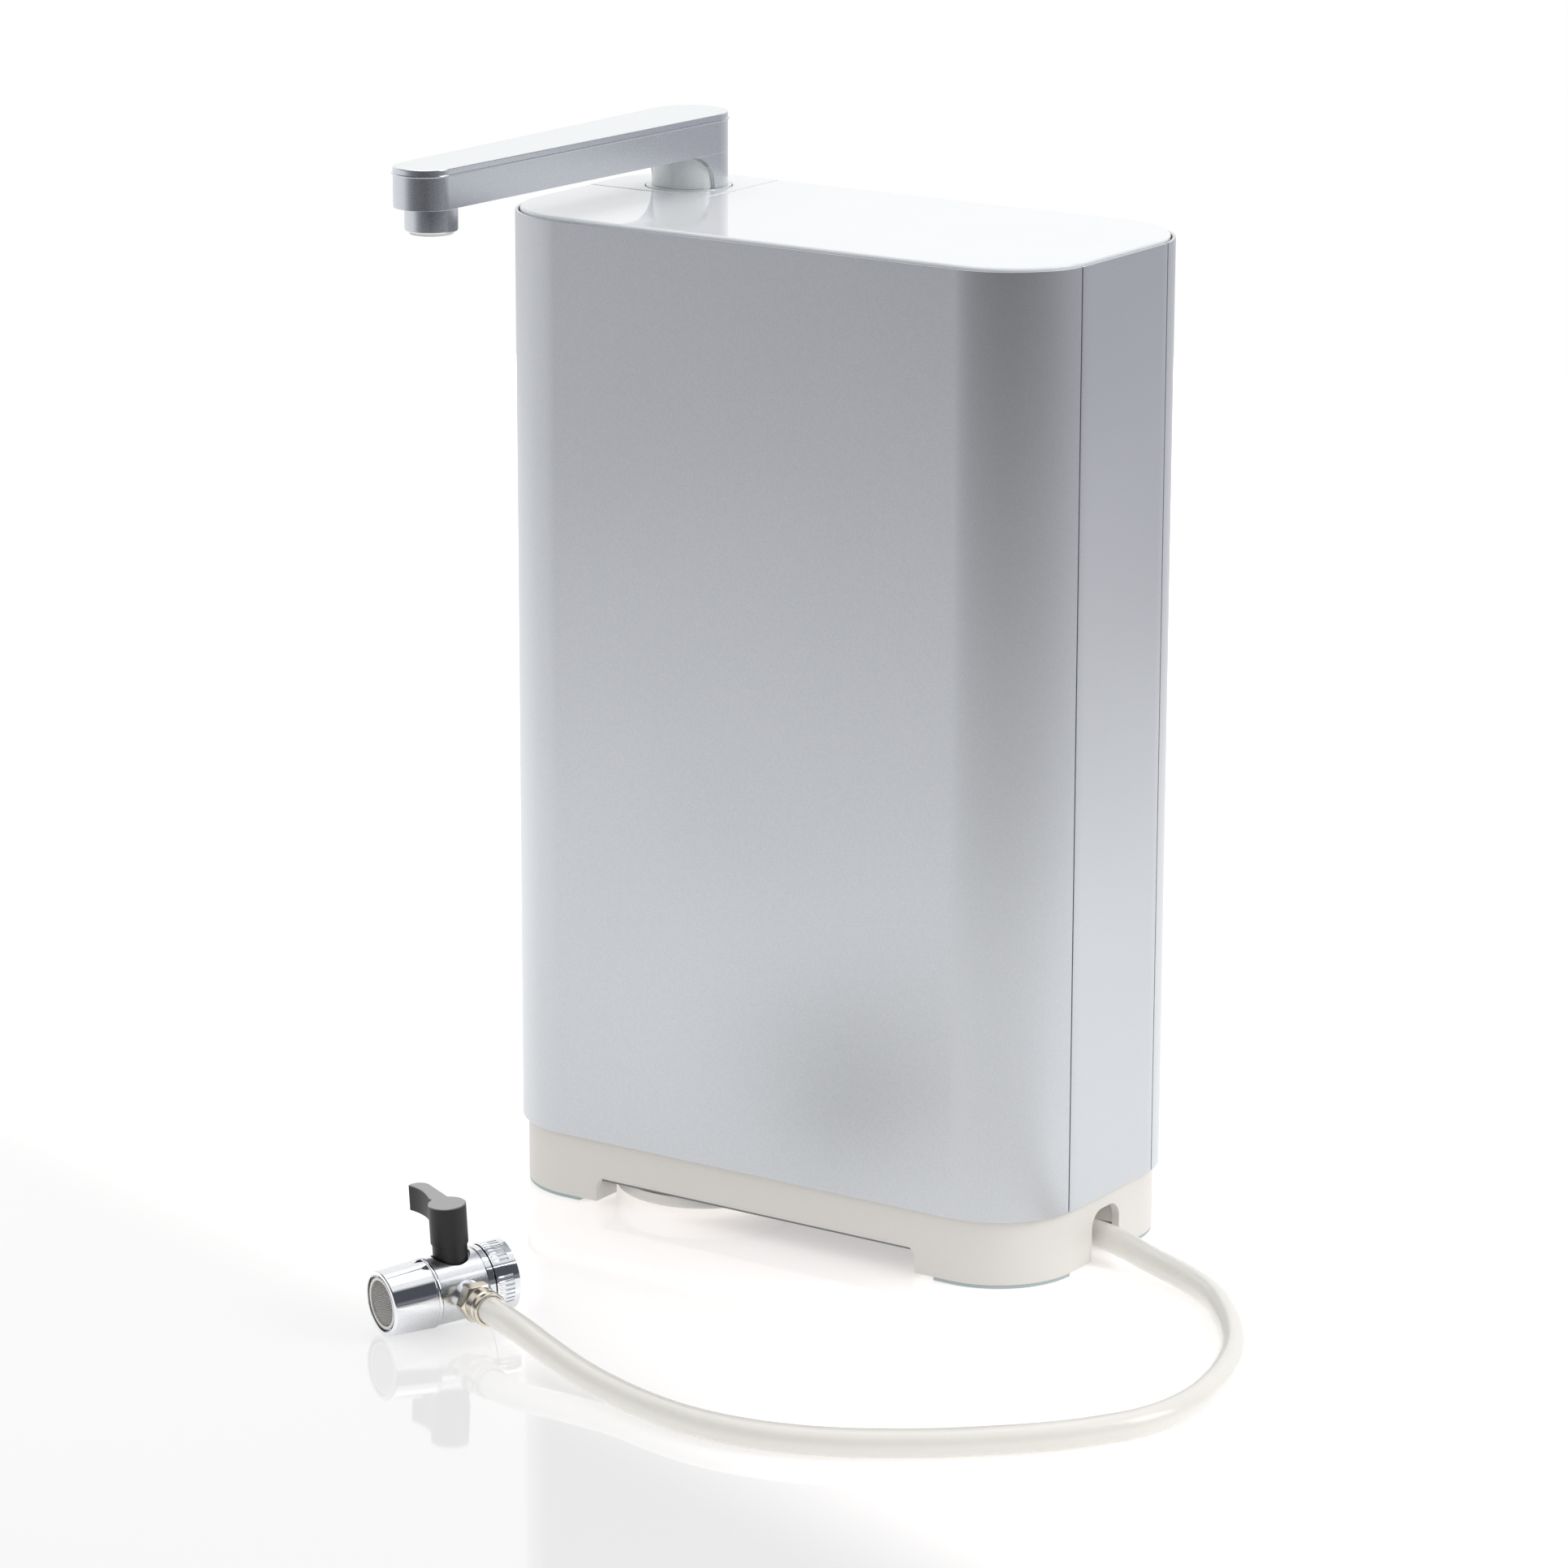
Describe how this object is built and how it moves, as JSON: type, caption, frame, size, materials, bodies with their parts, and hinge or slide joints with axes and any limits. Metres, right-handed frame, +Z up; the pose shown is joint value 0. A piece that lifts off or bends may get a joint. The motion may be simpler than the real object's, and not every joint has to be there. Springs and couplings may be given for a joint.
{
  "type": "countertop water filter",
  "caption": "Upright countertop water filter: rounded metal covers on a plastic base, glass top, swivel spout, inlet hose and a tap diverter valve with lever and swivel nut.",
  "frame": {"origin": "on the counter, in the middle of the footprint box of the body and spout, without the hose and valve", "axes": "+Z up, -Y the way the front faces and, within two degrees, the spout at rest, +X to the right seen from the front"},
  "size_m": [0.351, 0.2986, 0.401],
  "materials": {
    "silver_paint": "fine metallic silver paint, satin",
    "base_plastic": "warm white moulded plastic, satin",
    "grey_plastic": "grey moulded plastic, matte",
    "rubber_pad": "grey rubber, matte",
    "black_rubber": "black rubber, matte",
    "white_glass": "white backed glass, polished",
    "spout_silver": "silver paint, satin",
    "screw_steel": "plain steel",
    "tube_plastic": "clear white tubing, glossy",
    "filter_white": "white plastic, glossy",
    "hose_ivory": "ivory tubing, glossy",
    "nickel_brass": "nickel plated brass, polished",
    "valve_chrome": "chrome plate, mirror",
    "black_plastic": "black plastic, satin",
    "screen_mesh": "fine steel mesh"
  },
  "bodies": {
    "housing": {"foot_pads": "rubber_pad", "base_tray": "base_plastic", "bottom_plate": "grey_plastic", "chassis": "grey_plastic", "rear_cover": "silver_paint", "side_panel_left": "silver_paint", "side_panel_right": "silver_paint", "cover_screws": "screw_steel", "top_frame": "grey_plastic", "top_glass": "white_glass", "spout_tile": "white_glass", "spout_bush": "spout_silver", "spout_socket": "grey_plastic", "manifold": "grey_plastic", "filter_housing": "filter_white", "filter_element": "filter_white", "outlet_tube": "tube_plastic", "inlet_tube": "tube_plastic", "inlet_connector": "base_plastic", "inlet_nut": "grey_plastic", "inlet_collet": "grey_plastic", "hose": "hose_ivory", "compression_nut": "nickel_brass", "hose_sleeve": "nickel_brass", "valve_body": "valve_chrome", "nut_washer": "black_rubber", "aerator_shell": "valve_chrome", "aerator_screen": "screen_mesh"},
    "cover": {"front_cover": "silver_paint"},
    "spout": {"spout_stem": "screw_steel", "stem_seals": "black_rubber", "spout_column": "spout_silver", "spout_arm": "spout_silver", "spout_waterway": "tube_plastic", "spout_cap": "spout_silver", "nozzle": "spout_silver", "nozzle_insert": "base_plastic"},
    "underside_cap": {"service_cap": "base_plastic", "cap_seal": "black_rubber"},
    "second_filter": {"second_cartridge": "filter_white"},
    "third_filter": {"third_cartridge": "filter_white"},
    "lever": {"valve_lever": "black_plastic", "valve_spool": "nickel_brass"},
    "tap_nut": {"swivel_nut": "valve_chrome"}
  },
  "joints": [
    {"name": "spout_swivel", "type": "hinge", "parent": "housing", "child": "spout", "pos_m": [-0.087, 0.068, 0.38], "axis": [0, 0, 1], "range_deg": [-90, 90]},
    {"name": "cover_pull", "type": "slide", "parent": "housing", "child": "cover", "axis": [0, -1, 0], "range_m": [0, 0.06]},
    {"name": "cap_turn", "type": "hinge", "parent": "housing", "child": "underside_cap", "pos_m": [-0.047, 0.0195, 0.01], "axis": [0, 0, -1], "range_deg": [0, 90]},
    {"name": "second_filter_turn", "type": "hinge", "parent": "housing", "child": "second_filter", "pos_m": [0.028, 0.0155, 0.2], "axis": [0, 0, -1], "range_deg": [0, 90]},
    {"name": "third_filter_turn", "type": "hinge", "parent": "housing", "child": "third_filter", "pos_m": [0.086, 0.0155, 0.2], "axis": [0, 0, -1], "range_deg": [0, 90]},
    {"name": "lever_turn", "type": "hinge", "parent": "housing", "child": "lever", "pos_m": [-0.038, -0.15, 0.01357], "axis": [-0.024, -0.0504, 0.9984], "range_deg": [0, 90]},
    {"name": "tap_nut_spin", "type": "hinge", "parent": "housing", "child": "tap_nut", "pos_m": [-0.038, -0.15, 0.01357], "axis": [0.4298, 0.9012, 0.0558], "continuous": true}
  ]
}
